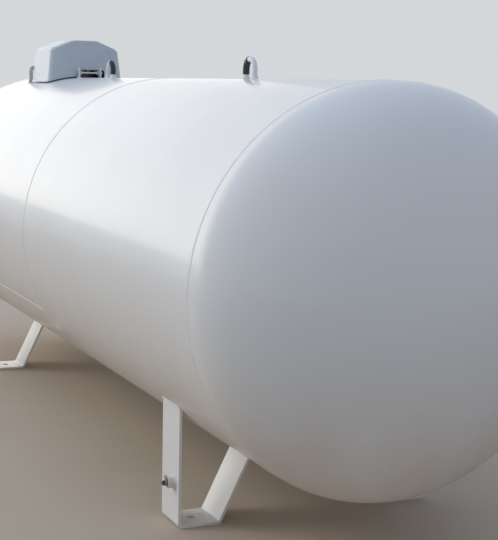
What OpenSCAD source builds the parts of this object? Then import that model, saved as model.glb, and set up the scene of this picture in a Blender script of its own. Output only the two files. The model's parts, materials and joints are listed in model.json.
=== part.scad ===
// Horizontal pressure tank on four bent-bar feet, with a hinged valve hood on its crest.
// X runs along the tank, Y across it, Z up. The origin is on the ground under the middle weld.

/* [Tank shell] */
// Outside diameter of the shell
shell_d = 1250; // [1000:10:1500]
// Length of each of the two rolled shell courses
course_len = 1770; // [1700:10:2400]
// Plate thickness of the shell courses
shell_t = 6.3; // [5:0.1:10]
// Plate thickness of the pressed ends
head_t = 6.5; // [5:0.1:10]
// Straight skirt on each pressed end, beside its girth weld
head_skirt = 40; // [20:5:60]
// Clear height between the ground and the underside of the shell
ground_gap = 195; // [150:5:260]

/* [Weld beads] */
// Width of a weld bead on the shell
bead_w = 12; // [8:1:20]
// Height of a weld bead over the plate
bead_h = 1.8; // [1:0.1:3]
// Angle of the lengthwise welds below the horizontal
long_weld_angle = 31; // [20:1:35]

/* [Feet] */
// Distance between the near and the far feet, centre to centre
foot_span = 2500; // [2200:10:2900]
// Width of the flat bar that each foot is bent from
foot_w = 150; // [100:5:200]
// Thickness of the flat bar
foot_t = 10; // [8:1:14]
// Distance of a foot's outer arm from the middle of the tank
foot_out = 465; // [420:5:480]
// Length of the flat base of a foot
foot_base = 149; // [130:1:170]
// Lean of the inner arm from the vertical
foot_lean = 26; // [15:1:30]
// Outside radius of the bends
foot_bend = 18; // [16:1:24]
// Diameter of the anchor hole in each base
anchor_d = 26; // [18:1:30]

/* [Valve hood] */
// Length of the hood along the tank, at its shoulder
hood_len = 304; // [280:2:340]
// Width of the hood across its foot
hood_w = 388; // [370:2:420]
// Height of the hood's flat top over the crest of the shell
hood_top = 181; // [170:1:220]
// Wall thickness of the hood
hood_t = 4; // [3:0.5:6]
// Clear gap between the hood's lower edge and the shell
hood_gap = 6; // [4:1:20]
// How far the rim along the hood's lower edge stands proud
hood_rim = 3; // [2:0.5:5]
// Distance of the hood's front shoulder from the middle weld
hood_front = 1183; // [1100:1:1300]

/* [Lifting lugs] */
// Distance of each lug from the middle weld
lug_at = 790; // [600:10:850]
// Diameter of the bent bar
lug_bar = 20; // [16:1:24]
// Distance between the two legs of a lug, centre to centre
lug_legs = 74; // [60:1:100]
// Height of a lug over the crest
lug_top = 80; // [75:1:120]

/* [Hidden] */

$fn = 96;
// Clearance under a piece that sits on the curved shell
seat = 0.3;
// Overshoot of a cutting shape past the face that it cuts
over = 5;

// Shell, derived
shell_r = shell_d / 2;
axis_z = ground_gap + shell_r;
crest_z = axis_z + shell_r;
// The ends are half ellipsoids, half as deep as they are wide
head_depth = shell_d / 4;
head_steps = 24;

// Feet, derived
foot_x = foot_span / 2;
foot_turn = 90 - foot_lean;
foot_in = foot_out - foot_base;
// Centre of the bend between the base and the leaning arm
lean_bend_y = foot_in + foot_bend * tan(foot_turn / 2);
anchor_y = foot_out - foot_base / 2;
// Longer than either arm, and trimmed by the shell
arm_reach = axis_z;
bend_steps = 8;

// Earthing point on the near left foot
// Distance of the stud from the middle of the foot's width
earth_beside = 34;
earth_x = foot_x + earth_beside;
earth_z = 147;
earth_boss_d = 36;
earth_boss_len = 25;
earth_stud_d = 10;
earth_washer_d = 24;
earth_washer_t = 2.5;
earth_clamp_t = 4;
earth_nut_d = 18;
earth_nut_t = 7;
earth_stud_end = 3;
earth_stud_len = earth_washer_t + earth_clamp_t + earth_nut_t + earth_stud_end;
earth_tail_w = 10;
earth_tail_h = 26;
earth_face_y = -foot_out;
earth_end_y = earth_face_y - earth_boss_len;

// Lifting lugs, derived
lug_arch_r = lug_legs / 2;
lug_arch_z = crest_z + lug_top - lug_bar / 2 - lug_arch_r;
lug_foot_d = 34;
lug_foot_h = 16;
// Weld left round the bar at the top of its foot
lug_foot_step = 2;
sleeve_t = 2.2;
sleeve_hole = 9;
// Angle round the arch, from the level, at which the sleeve ends
sleeve_end = 75;
// Angle round the arch of the small hole in the sleeve
sleeve_hole_at = 48;

// Hood, derived
hood_back = hood_front + hood_len;
hood_corner = 28;
// How far the sides and the two ends lean out, from the shoulder to the foot
hood_flare = 22;
hood_end_flare = 16;
hood_shoulder_w = hood_w - 2 * hood_flare;
hood_roof_w = 136;
hood_shoulder_drop = 50;
hood_eave_drop = 37;
hood_shoulder_z = crest_z + hood_top - hood_shoulder_drop;
hood_eave_z = crest_z + hood_top - hood_eave_drop;
hood_top_z = crest_z + hood_top;
// Deep enough for the shell to trim the hood's lower edge all round
hood_low_z = crest_z - hood_w / 6;
hood_rim_h = 7;
hood_slice = 0.5;
hood_eave_trim = 2;
hood_roof_trim = 6;
// The notch is a little wider on the right of the hinge than on its left
notch_w = 140;
notch_side = 24;
notch_rise = 38;
notch_z = crest_z + notch_rise;

// Hinge of the hood
hinge_ahead = 38;
hinge_rise = 23;
hinge_x = hinge_ahead - hood_front;
hinge_z = crest_z + hinge_rise;
// How far the hinge stands to the right of the tank's middle line
hinge_side = 9;
rod_d = 8;
rod_head_d = 15;
rod_head_t = 5;
rod_end = 3;
// Radial clearance between the turning arms and the rod
rod_play = 0.05;
plate_t = 6;
plate_y = 51;
plate_half = 13;
plate_up = 13;
plate_deep = 40;
rod_len = 2 * (plate_y + plate_t + rod_head_t + rod_end);
arm_t = 6;
arm_side_play = 2;
arm_eye_r = 12;
arm_out_y = plate_y - arm_side_play;
arm_back_t = 10;
hinge_pad_h = 44;
hinge_pad_t = 4;
hinge_pad_up = 6;
arm_drop = 8;

// Latch behind the hood
hoop_gap = 22;
hoop_w = 20;
hoop_t = 6;
hoop_half = 198;
hoop_corner = 24;
hoop_rise = 55;
hoop_top_z = crest_z + hoop_rise;
hasp_w = 40;
hasp_t = 4;
// Space between the hasp's tongue and the hoop
hasp_play = 2;
hasp_z = hoop_top_z + hasp_t;
hasp_back_h = 30;
padlock_d = 10;
padlock_z = hoop_top_z - hoop_w / 2;

// Neck and plate under the hood
neck_x = -(hood_front + hood_len / 2);
neck_d = 216;
neck_wall = 8;
neck_rise = 14;
neck_top = crest_z + neck_rise;
plate_d = 236;
valve_plate_t = 14;
// Height of the plate's top, and the circle on which the four fittings stand
fit_z = neck_top + valve_plate_t;
fit_r = 66;
hex_fn = 6;

// Fill valve: hexagon, body, thread collar and cap
fill_at = 215;
fill_hex_d = 58;
fill_hex_h = 20;
fill_d = 44;
fill_h = 52;
fill_collar_d = 50;
fill_collar_h = 8;
fill_cap_d = 62;
fill_cap_h = 16;
fill_knob_d = 50;
fill_knob_h = 6;

// Relief valve: hexagon, body, outlet lip and rain cap
relief_at = 145;
relief_hex_d = 54;
relief_hex_h = 22;
relief_d = 42;
relief_h = 74;
relief_lip_d = 48;
relief_lip_h = 10;
relief_cap_d = 50;
relief_cap_h = 8;
relief_cone_h = 6;
relief_cone_d = 40;

// Service valve: hexagon, body, side outlet, spindle and handwheel
service_at = 325;
service_hex_d = 46;
service_hex_h = 18;
service_d = 32;
service_h = 46;
outlet_z = 32;
outlet_d = 24;
outlet_len = 40;
outlet_nut_d = 32;
outlet_nut_h = 12;
// How far the outlet starts behind the middle of the body
outlet_root = 4;
spindle_d = 12;
spindle_h = 62;
wheel_r = 24;
wheel_bar = 7;
wheel_spoke_d = 6;
wheel_hub_d = 18;
wheel_hub_h = 10;

// Level gauge: flange and dial case
gauge_at = 35;
gauge_flange_d = 64;
gauge_flange_h = 10;
gauge_d = 54;
gauge_h = 22;

// A ring of the tank's own circle, cut out of anything that sits on the shell
module shell_space(extra = 0) {
    translate([0, 0, axis_z]) rotate([0, 90, 0])
        cylinder(r = shell_r + extra, h = 6 * course_len, center = true, $fn = 180);
}

// Shell and pressed ends
module shell_course() {
    translate([0, 0, axis_z]) rotate([0, 90, 0]) difference() {
        cylinder(r = shell_r, h = course_len, $fn = 180);
        translate([0, 0, -over]) cylinder(r = shell_r - shell_t, h = course_len + 2 * over, $fn = 180);
    }
}

module shell_course_near() { color("white") shell_course(); }
module shell_course_far() { color("white") translate([-course_len, 0, 0]) shell_course(); }

// A quarter ellipse from the skirt to the pole, as radius and distance along the axis
function head_curve(radius, depth) = [
    for (i = [0:head_steps])
        [radius * cos(90 * i / head_steps), head_skirt + depth * sin(90 * i / head_steps)]
];
function reversed(list) = [for (i = [len(list) - 1:-1:0]) list[i]];

module head() {
    inner = reversed(head_curve(shell_r - head_t, head_depth - head_t));
    profile = concat(
        [[shell_r - head_t, 0], [shell_r, 0]],
        head_curve(shell_r, head_depth),
        inner
    );
    translate([course_len, 0, axis_z]) rotate([0, 90, 0])
        rotate_extrude($fn = 180) polygon(profile);
}

module head_near() { color("white") head(); }
module head_far() { color("white") mirror([1, 0, 0]) head(); }

// Weld beads: a flat arc over the plate
function bead_arc(w, h) = [
    for (i = [0:6]) [w * (i / 6 - 0.5), h * sin(30 * i)]
];

module girth_weld(x) {
    translate([x, 0, axis_z]) rotate([0, 90, 0]) rotate_extrude($fn = 180)
        polygon([for (p = bead_arc(bead_w, bead_h)) [shell_r + seat + p[1], p[0]]]);
}

module long_weld(x, side) {
    len = course_len - bead_w - 2 * seat;
    translate([x + bead_w / 2 + seat, 0, axis_z]) rotate([side * (90 + long_weld_angle), 0, 0])
        translate([0, 0, shell_r + seat]) rotate([90, 0, 90])
            linear_extrude(len) polygon(bead_arc(bead_w, bead_h));
}

module girth_weld_near() { color("gainsboro") girth_weld(course_len); }
module girth_weld_middle() { color("gainsboro") girth_weld(0); }
module girth_weld_far() { color("gainsboro") girth_weld(-course_len); }
module long_weld_near() { color("gainsboro") long_weld(0, -1); }
module long_weld_far() { color("gainsboro") long_weld(-course_len, 1); }

// One foot: a flat bar bent twice, its arms trimmed to the shell
function arc_points(centre, r, from, to) = [
    for (i = [0:bend_steps])
        centre + r * [cos(from + (to - from) * i / bend_steps), sin(from + (to - from) * i / bend_steps)]
];

module foot_outline() {
    heel = [foot_out - foot_bend, foot_bend];
    toe = [lean_bend_y, foot_bend];
    inner_r = foot_bend - foot_t;
    lean_end = -90 - foot_turn;
    // Run of the leaning arm, up and towards the middle of the tank
    lean_run = arm_reach * [-sin(foot_lean), cos(foot_lean)];
    lean_side = [cos(lean_end), sin(lean_end)];
    polygon(concat(
        [[foot_out, arm_reach]],
        arc_points(heel, foot_bend, 0, -90),
        arc_points(toe, foot_bend, -90, lean_end),
        [toe + foot_bend * lean_side + lean_run, toe + inner_r * lean_side + lean_run],
        arc_points(toe, inner_r, lean_end, -90),
        arc_points(heel, inner_r, -90, 0),
        [[foot_out - foot_t, arm_reach]]
    ));
}

module foot(x, side) {
    color("white") translate([x, 0, 0]) mirror([0, side < 0 ? 1 : 0, 0]) difference() {
        translate([-foot_w / 2, 0, 0]) rotate([90, 0, 90]) linear_extrude(foot_w) intersection() {
            foot_outline();
            square([foot_out + over, axis_z - shell_r / 2]);
        }
        shell_space(seat);
        translate([0, anchor_y, -over]) cylinder(d = anchor_d, h = foot_t + 2 * over);
    }
}

module foot_near_left() { foot(foot_x, -1); }
module foot_near_right() { foot(foot_x, 1); }
module foot_far_left() { foot(-foot_x, -1); }
module foot_far_right() { foot(-foot_x, 1); }

// Earthing point: a welded boss with a stud, washer, clamp and nut
module earth_disc(d, y, t, fn = 64) {
    translate([earth_x, y, earth_z]) rotate([90, 0, 0]) cylinder(d = d, h = t, $fn = fn);
}

module earthing_boss() {
    color("white") difference() {
        earth_disc(earth_boss_d, earth_face_y, earth_boss_len);
        earth_disc(earth_stud_d, earth_face_y + over, earth_boss_len + 2 * over);
    }
}

module earthing_bolt() {
    color("dimgray") {
        earth_disc(earth_stud_d, earth_face_y, earth_boss_len + earth_stud_len);
        earth_disc(earth_washer_d, earth_end_y, earth_washer_t);
        earth_disc(earth_nut_d, earth_end_y - earth_washer_t - earth_clamp_t, earth_nut_t, hex_fn);
    }
}

module earthing_clamp() {
    clamp_y = earth_end_y - earth_washer_t;
    color("darkgray") difference() {
        union() {
            earth_disc(earth_nut_d, clamp_y, earth_clamp_t);
            translate([earth_x - earth_tail_w / 2, clamp_y - earth_clamp_t, earth_z])
                cube([earth_tail_w, earth_clamp_t, earth_tail_h]);
        }
        earth_disc(earth_stud_d, clamp_y + over, earth_clamp_t + 2 * over);
    }
}

// Lifting lugs: a round bar bent to an arch, on two conical weld feet
module lug_arch(d, turn) {
    rotate([90, 0, 0]) rotate_extrude(angle = turn, $fn = 72)
        translate([lug_arch_r, 0]) circle(d = d, $fn = 48);
}

module lug_leg(d, z) {
    translate([lug_arch_r, 0, z - lug_arch_z]) cylinder(d = d, h = lug_arch_z - z, $fn = 48);
}

module lifting_lug(x) {
    color("white") difference() {
        translate([x, 0, lug_arch_z]) {
            lug_arch(lug_bar, 180);
            for (side = [0, 1]) mirror([side, 0, 0]) {
                lug_leg(lug_bar, crest_z - 2 * over);
                translate([lug_arch_r, 0, crest_z - lug_arch_z - 2 * over])
                    cylinder(d = lug_foot_d, h = 2 * over);
                translate([lug_arch_r, 0, crest_z - lug_arch_z])
                    cylinder(d1 = lug_foot_d, d2 = lug_bar + 2 * lug_foot_step, h = lug_foot_h);
            }
        }
        shell_space(seat);
    }
}

// A dark sleeve on the leg that faces the middle of the tank
module lug_sleeve(x) {
    side = x > 0 ? 1 : 0;
    sleeve_z = crest_z + lug_foot_h + seat;
    color([0.1, 0.11, 0.15]) translate([x, 0, lug_arch_z]) mirror([side, 0, 0]) difference() {
        union() {
            lug_arch(lug_bar + 2 * sleeve_t, sleeve_end);
            lug_leg(lug_bar + 2 * sleeve_t, sleeve_z);
        }
        lug_arch(lug_bar, 180);
        lug_leg(lug_bar, sleeve_z - over);
        rotate([0, -sleeve_hole_at, 0]) translate([lug_arch_r, 0, 0]) rotate([90, 0, 0])
            cylinder(d = sleeve_hole, h = lug_bar + 2 * over, $fn = 24);
    }
}

module lifting_lug_near() { lifting_lug(lug_at); }
module lifting_lug_far() { lifting_lug(-lug_at); }
module lug_sleeve_near() { lug_sleeve(lug_at); }
module lug_sleeve_far() { lug_sleeve(-lug_at); }

// Fittings on a flanged neck, under the hood
module valve_neck() {
    // Deep enough to be trimmed by the shell all round
    neck_low = crest_z - 2 * neck_rise;
    color("white") difference() {
        translate([neck_x, 0, neck_low]) cylinder(d = neck_d, h = neck_top - neck_low);
        translate([neck_x, 0, neck_low - over])
            cylinder(d = neck_d - 2 * neck_wall, h = neck_top - neck_low + 2 * over);
        shell_space(seat);
    }
}

module valve_plate() {
    color("silver") translate([neck_x, 0, neck_top]) cylinder(d = plate_d, h = valve_plate_t);
}

module on_plate(angle) {
    translate([neck_x + fit_r * cos(angle), fit_r * sin(angle), fit_z]) children();
}

module fill_valve() {
    color("goldenrod") on_plate(fill_at) {
        cylinder(d = fill_hex_d, h = fill_hex_h, $fn = hex_fn);
        cylinder(d = fill_d, h = fill_h);
        translate([0, 0, fill_h - fill_collar_h]) cylinder(d = fill_collar_d, h = fill_collar_h);
    }
}

module fill_cap() {
    color([0.15, 0.15, 0.16]) on_plate(fill_at) translate([0, 0, fill_h]) {
        cylinder(d = fill_cap_d, h = fill_cap_h);
        cylinder(d = fill_knob_d, h = fill_cap_h + fill_knob_h);
    }
}

module relief_valve() {
    color("goldenrod") on_plate(relief_at) {
        cylinder(d = relief_hex_d, h = relief_hex_h, $fn = hex_fn);
        cylinder(d = relief_d, h = relief_h);
        translate([0, 0, relief_h - relief_lip_h]) cylinder(d = relief_lip_d, h = relief_lip_h);
    }
}

module relief_cap() {
    color("firebrick") on_plate(relief_at) translate([0, 0, relief_h]) {
        cylinder(d = relief_cap_d, h = relief_cap_h);
        translate([0, 0, relief_cap_h])
            cylinder(d1 = relief_cap_d, d2 = relief_cone_d, h = relief_cone_h);
    }
}

module service_valve() {
    outlet_turn = [90, 0, 0];
    color("goldenrod") on_plate(service_at) {
        cylinder(d = service_hex_d, h = service_hex_h, $fn = hex_fn);
        cylinder(d = service_d, h = service_h);
        translate([0, outlet_root, outlet_z]) rotate(outlet_turn)
            cylinder(d = outlet_d, h = outlet_root + outlet_len, $fn = 48);
        translate([0, outlet_nut_h - outlet_len, outlet_z]) rotate(outlet_turn)
            cylinder(d = outlet_nut_d, h = outlet_nut_h, $fn = hex_fn);
        translate([0, 0, service_h - spindle_d / 2])
            cylinder(d = spindle_d, h = spindle_h - service_h + spindle_d / 2, $fn = 48);
    }
}

module service_handwheel() {
    color("firebrick") on_plate(service_at) translate([0, 0, spindle_h]) {
        cylinder(d = wheel_hub_d, h = wheel_hub_h, $fn = 48);
        translate([0, 0, wheel_hub_h / 2]) {
            rotate_extrude($fn = 72) translate([wheel_r, 0]) circle(d = wheel_bar, $fn = 32);
            for (turn = [0, 90])
                rotate([0, 90, turn]) cylinder(d = wheel_spoke_d, h = 2 * wheel_r, center = true, $fn = 32);
        }
    }
}

module level_gauge() {
    color("gainsboro") on_plate(gauge_at) {
        cylinder(d = gauge_flange_d, h = gauge_flange_h);
        cylinder(d = gauge_d, h = gauge_h);
    }
}

// Everything of the hinge stands about one axis, a little off the tank's middle line
module at_hinge() {
    translate([hinge_x, hinge_side, hinge_z]) rotate([90, 0, 0]) children();
}

// Hinge plates on the shell, and the rod between them
module hinge_plate(side) {
    low = side < 0 ? plate_y : -plate_y - plate_t;
    color("white") difference() {
        at_hinge() translate([0, 0, low]) linear_extrude(plate_t) union() {
            translate([0, plate_up]) circle(r = plate_half);
            translate([-plate_half, -plate_deep]) square([2 * plate_half, plate_deep + plate_up]);
        }
        shell_space(seat);
        at_hinge() cylinder(d = rod_d, h = rod_len + 2 * over, center = true);
    }
}

module hinge_plate_left() { hinge_plate(-1); }
module hinge_plate_right() { hinge_plate(1); }

module hinge_rod() {
    color("lightsteelblue") at_hinge() {
        cylinder(d = rod_d, h = rod_len, center = true);
        for (side = [0, 1]) mirror([0, 0, side])
            translate([0, 0, plate_y + plate_t]) cylinder(d = rod_head_d, h = rod_head_t);
    }
}

// The hood: a drafted box with a chamfered roof, open below and notched round the hinge
module hood_disc(w, z, trim_x, inset) {
    r = hood_corner - inset;
    half = w / 2 - inset;
    front = -hood_front - trim_x - inset;
    back = -hood_back + trim_x + inset;
    for (x = [front - r, back + r], y = [-half + r, half - r])
        translate([x, y, z]) cylinder(r = r, h = hood_slice, $fn = 32);
}

module hood_block(inset, low_z) {
    eave_w = hood_shoulder_w - 2 * (hood_eave_z - hood_shoulder_z);
    hull() {
        hood_disc(hood_w, low_z, -hood_end_flare, inset);
        hood_disc(hood_shoulder_w, hood_shoulder_z - inset, 0, inset);
        hood_disc(eave_w, hood_eave_z - inset, hood_eave_trim, inset);
        hood_disc(hood_roof_w, hood_top_z - hood_slice - inset, hood_roof_trim, inset);
    }
}

// How far an end wall leans out at a height, on its outside or its inside
function lean_out(z, inset, low_z) =
    hood_end_flare * (hood_shoulder_z - inset + hood_slice - z) / (hood_shoulder_z - inset - low_z);
function outside_at(z) = lean_out(z, 0, hood_low_z);
function inside_at(z) = lean_out(z, hood_t, hood_low_z - over) - hood_t;

// A proud rim that follows the shell's curve along the hood's lower edge
module hood_edge() {
    difference() {
        intersection() {
            hood_block(-hood_rim, hood_low_z);
            shell_space(hood_gap + hood_rim_h);
        }
        hood_block(hood_t, hood_low_z - over);
    }
}

module valve_hood() {
    color("lightsteelblue") difference() {
        union() {
            difference() {
                hood_block(0, hood_low_z);
                hood_block(hood_t, hood_low_z - over);
            }
            hood_edge();
        }
        shell_space(hood_gap);
        translate([-hood_front - 2 * hood_corner, notch_side - notch_w / 2, hood_low_z])
            cube([3 * hood_corner, notch_w, notch_z - hood_low_z]);
    }
}

// Two arms that carry the hood on the rod, on one pad behind its front wall
module hood_hinge_arms() {
    pad_z = notch_z + hinge_pad_up;
    pad_top = pad_z + hinge_pad_h;
    low_x = -hood_front + inside_at(pad_z);
    top_x = -hood_front + inside_at(pad_top);
    // Back of the pad, upright, and back of the arms behind it
    pad_x = top_x - hinge_pad_t;
    back_x = pad_x - arm_back_t;
    color("lightsteelblue") difference() {
        translate([0, hinge_side, 0]) rotate([90, 0, 0]) {
            linear_extrude(2 * arm_out_y, center = true)
                polygon([[low_x, pad_z], [top_x, pad_top], [pad_x, pad_top], [pad_x, pad_z]]);
            for (side = [0, 1]) mirror([0, 0, side]) translate([0, 0, arm_out_y - arm_t]) {
                linear_extrude(arm_t) polygon([
                    [back_x, pad_top], [pad_x, pad_top], [pad_x, notch_z - arm_drop],
                    [hinge_x, hinge_z + arm_eye_r], [hinge_x, hinge_z - arm_eye_r],
                    [back_x, hinge_z]
                ]);
                translate([hinge_x, hinge_z, 0]) cylinder(r = arm_eye_r, h = arm_t);
            }
        }
        at_hinge() cylinder(d = rod_d + 2 * rod_play, h = rod_len + 2 * over, center = true);
    }
}

// Latch: a flat arch behind the hood, and a hasp whose tongue hangs in front of it
module through_latch() {
    translate([-hood_back, 0, padlock_z]) rotate([0, 90, 0])
        cylinder(d = padlock_d, h = 2 * (hoop_gap + hoop_t + over), center = true, $fn = 48);
}

module latch_hoop() {
    color("silver") difference() {
        translate([-hood_back - hoop_gap - hoop_t, 0, 0]) rotate([90, 0, 90]) linear_extrude(hoop_t)
            difference() {
                hoop_arch(0);
                hoop_arch(hoop_w);
            }
        shell_space(seat);
        through_latch();
    }
}

module hoop_arch(inset) {
    half = hoop_half - inset;
    r = hoop_corner - inset;
    top = hoop_top_z - inset;
    low = axis_z + shell_r / 2;
    translate([-half, low - inset]) square([2 * half, top - r - low + inset]);
    translate([-half + r, low]) square([2 * (half - r), top - low]);
    for (y = [-half + r, half - r]) translate([y, top - r]) circle(r = r);
}

module hood_hasp() {
    tongue_x = -hood_back - hoop_gap + hasp_play;
    hasp_top = hasp_z + hasp_back_h;
    // Outside of the hood's back wall, as far as the hasp reaches up and down
    low_x = -hood_back - outside_at(hasp_z) - seat;
    top_x = -hood_back - outside_at(hasp_top) - seat;
    color("lightsteelblue") difference() {
        translate([0, hasp_w / 2, 0]) rotate([90, 0, 0]) linear_extrude(hasp_w) polygon([
            [low_x, hasp_z], [top_x, hasp_top], [top_x - hasp_t, hasp_top],
            [low_x - hasp_t, hasp_z + hasp_t], [tongue_x, hasp_z + hasp_t],
            [tongue_x, hoop_top_z - hoop_w], [tongue_x + hasp_t, hoop_top_z - hoop_w],
            [tongue_x + hasp_t, hasp_z]
        ]);
        through_latch();
    }
}

shell_course_near();
shell_course_far();
head_near();
head_far();
girth_weld_near();
girth_weld_middle();
girth_weld_far();
long_weld_near();
long_weld_far();
foot_near_left();
foot_near_right();
foot_far_left();
foot_far_right();
earthing_boss();
earthing_bolt();
earthing_clamp();
lifting_lug_near();
lifting_lug_far();
lug_sleeve_near();
lug_sleeve_far();
valve_neck();
valve_plate();
fill_valve();
fill_cap();
relief_valve();
relief_cap();
service_valve();
service_handwheel();
level_gauge();
hinge_plate_left();
hinge_plate_right();
hinge_rod();
valve_hood();
hood_hinge_arms();
hood_hasp();
latch_hoop();
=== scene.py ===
# %% [markdown]
# # Horizontal pressure tank
# The tank lies along X on four bent-bar feet, with its valve hood near the far end of the crest.
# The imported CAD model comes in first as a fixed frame. Every piece below is modelled to sit where
# the frame says, so its outer measures are read from the frame's own boxes. Only what a box does
# not tell, such as a wall's thickness or the radius of a bend, is written here.

# %% Load the frame
import json
import math
import bpy
from mathutils import Matrix, Vector


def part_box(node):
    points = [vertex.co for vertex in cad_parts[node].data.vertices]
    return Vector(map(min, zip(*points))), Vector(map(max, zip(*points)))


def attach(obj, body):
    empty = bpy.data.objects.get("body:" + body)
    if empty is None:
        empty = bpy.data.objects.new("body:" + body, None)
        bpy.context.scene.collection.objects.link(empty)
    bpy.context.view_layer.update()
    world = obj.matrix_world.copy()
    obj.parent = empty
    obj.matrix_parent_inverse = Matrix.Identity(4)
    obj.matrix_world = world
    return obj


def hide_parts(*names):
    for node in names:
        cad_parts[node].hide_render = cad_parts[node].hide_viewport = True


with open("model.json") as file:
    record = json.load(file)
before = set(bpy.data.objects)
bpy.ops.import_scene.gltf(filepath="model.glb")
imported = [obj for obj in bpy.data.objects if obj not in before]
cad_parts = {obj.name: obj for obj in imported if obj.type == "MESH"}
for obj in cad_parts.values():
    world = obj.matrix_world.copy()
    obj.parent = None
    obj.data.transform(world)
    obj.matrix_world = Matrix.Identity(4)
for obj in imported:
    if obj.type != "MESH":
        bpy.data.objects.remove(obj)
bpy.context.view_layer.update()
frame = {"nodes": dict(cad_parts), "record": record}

MM = 0.001
shell_low, shell_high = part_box("shell_course_near")
shell_r = (shell_high.z - shell_low.z) / 2
axis_z = (shell_high.z + shell_low.z) / 2
crest_z = shell_high.z
course_len = shell_high.x - shell_low.x
print("shell radius", round(shell_r, 4), "axis height", round(axis_z, 4), "course", round(course_len, 4))

# %% [markdown]
# ## Camera
# The picture was taken off the near end, a little to the side, looking slightly down. The camera
# is placed from that standing point, its compass angle and its pitch. A small roll is added
# last, because a hand-held picture is never quite level.

# %% Camera
eye = Vector((5.077, -1.948, 1.416))
compass = math.radians(65.44)
pitch_down = math.radians(8.009)
roll = math.radians(1.2385)
lens_mm = 86.65
film_mm = 36

ahead = math.cos(pitch_down)
look = Vector((-math.sin(compass) * ahead, math.cos(compass) * ahead, -math.sin(pitch_down)))
level_right = Vector((math.cos(compass), math.sin(compass), 0))
level_up = level_right.cross(look)
right = level_right * math.cos(roll) + level_up * math.sin(roll)
up = level_up * math.cos(roll) - level_right * math.sin(roll)

camera_data = bpy.data.cameras.new("camera")
camera_data.lens = lens_mm
camera_data.sensor_width = film_mm
camera = bpy.data.objects.new("camera", camera_data)
bpy.context.scene.collection.objects.link(camera)
camera.matrix_world = Matrix((right, up, -look)).transposed().to_4x4()
camera.location = eye
bpy.context.scene.camera = camera
bpy.context.scene.view_settings.view_transform = "Standard"
print("camera", [round(v, 3) for v in eye], "lens", lens_mm)

# %% [markdown]
# ## Helpers for modelling
# Each piece starts as a primitive and is shaped in edit mode, as it would be by hand. Operators
# act on whatever is selected, so one helper starts from nothing selected, and another picks
# faces, edges or corners by where they are. The last one finishes a piece: it puts the place into
# the mesh, smooths the shading, gives the paint, and lets the piece ride on its body.

# %% Selecting and placing
same_spot = 1e-6


def deselect_all():
    if bpy.context.mode != "OBJECT":
        bpy.ops.object.mode_set(mode="OBJECT")
    bpy.ops.object.select_all(action="DESELECT")


def use(*pieces):
    """Selects these pieces only; the first is the active one."""
    deselect_all()
    for piece in pieces:
        piece.select_set(True)
    bpy.context.view_layer.objects.active = pieces[0]


def pick(piece, kind, test):
    """Goes into edit mode with the faces, edges or corners that pass the test selected."""
    bpy.context.view_layer.objects.active = piece
    bpy.ops.object.mode_set(mode="EDIT")
    bpy.ops.mesh.select_mode(type=kind)
    bpy.ops.mesh.select_all(action="DESELECT")
    bpy.ops.object.mode_set(mode="OBJECT")
    corners = piece.data.vertices
    if kind == "FACE":
        for face in piece.data.polygons:
            face.select = test(face.center, face.normal)
    elif kind == "EDGE":
        for edge in piece.data.edges:
            start, end = (corners[i].co for i in edge.vertices)
            edge.select = test(start, end)
    else:
        for corner in corners:
            corner.select = test(corner.co)
    bpy.ops.object.mode_set(mode="EDIT")


def pick_all_faces(piece):
    pick(piece, "FACE", lambda centre, normal: True)


def extrude(move):
    bpy.ops.mesh.extrude_region_move(TRANSFORM_OT_translate={"value": move})


def place_in_mesh(piece):
    use(piece)
    bpy.ops.object.transform_apply(location=True, rotation=True, scale=True)


def add_modifier(piece, kind, **settings):
    modifier = piece.modifiers.new(kind.lower(), kind)
    for key, value in settings.items():
        setattr(modifier, key, value)


def apply_modifiers(piece):
    use(piece)
    for modifier in list(piece.modifiers):
        bpy.ops.object.modifier_apply(modifier=modifier.name)


def set_normals_out(piece):
    pick_all_faces(piece)
    bpy.ops.mesh.normals_make_consistent(inside=False)
    deselect_all()


def merge_and_face_out():
    """In edit mode, merges corners that share a spot, and then turns every face outwards."""
    bpy.ops.mesh.select_all(action="SELECT")
    bpy.ops.mesh.remove_doubles(threshold=same_spot)
    bpy.ops.mesh.normals_make_consistent(inside=False)
    deselect_all()


def middle_of(name):
    """The middle of a frame node's box."""
    low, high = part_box(name)
    return (low + high) / 2


# %% Starting shapes
def turned(rings, at=(0, 0, 0), way=(0, 0, 1), sides=48):
    """A lathe-turned piece along way: a disc drawn up through rings, each a height and a radius."""
    height, radius = rings[0]
    deselect_all()
    bpy.ops.mesh.primitive_circle_add(
        vertices=sides, radius=radius, fill_type="NGON", location=(0, 0, height))
    piece = bpy.context.object
    place_in_mesh(piece)
    pick_all_faces(piece)
    for next_height, next_radius in rings[1:]:
        extrude((0, 0, next_height - height))
        ratio = next_radius / radius
        bpy.ops.transform.resize(value=(ratio, ratio, 1), center_override=(0, 0, next_height))
        height, radius = next_height, next_radius
    set_normals_out(piece)
    piece.rotation_euler = Vector(way).to_track_quat("Z", "Y").to_euler()
    piece.location = at
    place_in_mesh(piece)
    return piece


def in_mm(*rings):
    """A turned outline whose heights and radii are written in millimetres."""
    return [(height * MM, radius * MM) for height, radius in rings]


def block(low, high):
    """A box between two corners."""
    low, high = Vector(low), Vector(high)
    deselect_all()
    bpy.ops.mesh.primitive_cube_add(size=1, location=(low + high) / 2)
    piece = bpy.context.object
    piece.scale = high - low
    place_in_mesh(piece)
    return piece


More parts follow.
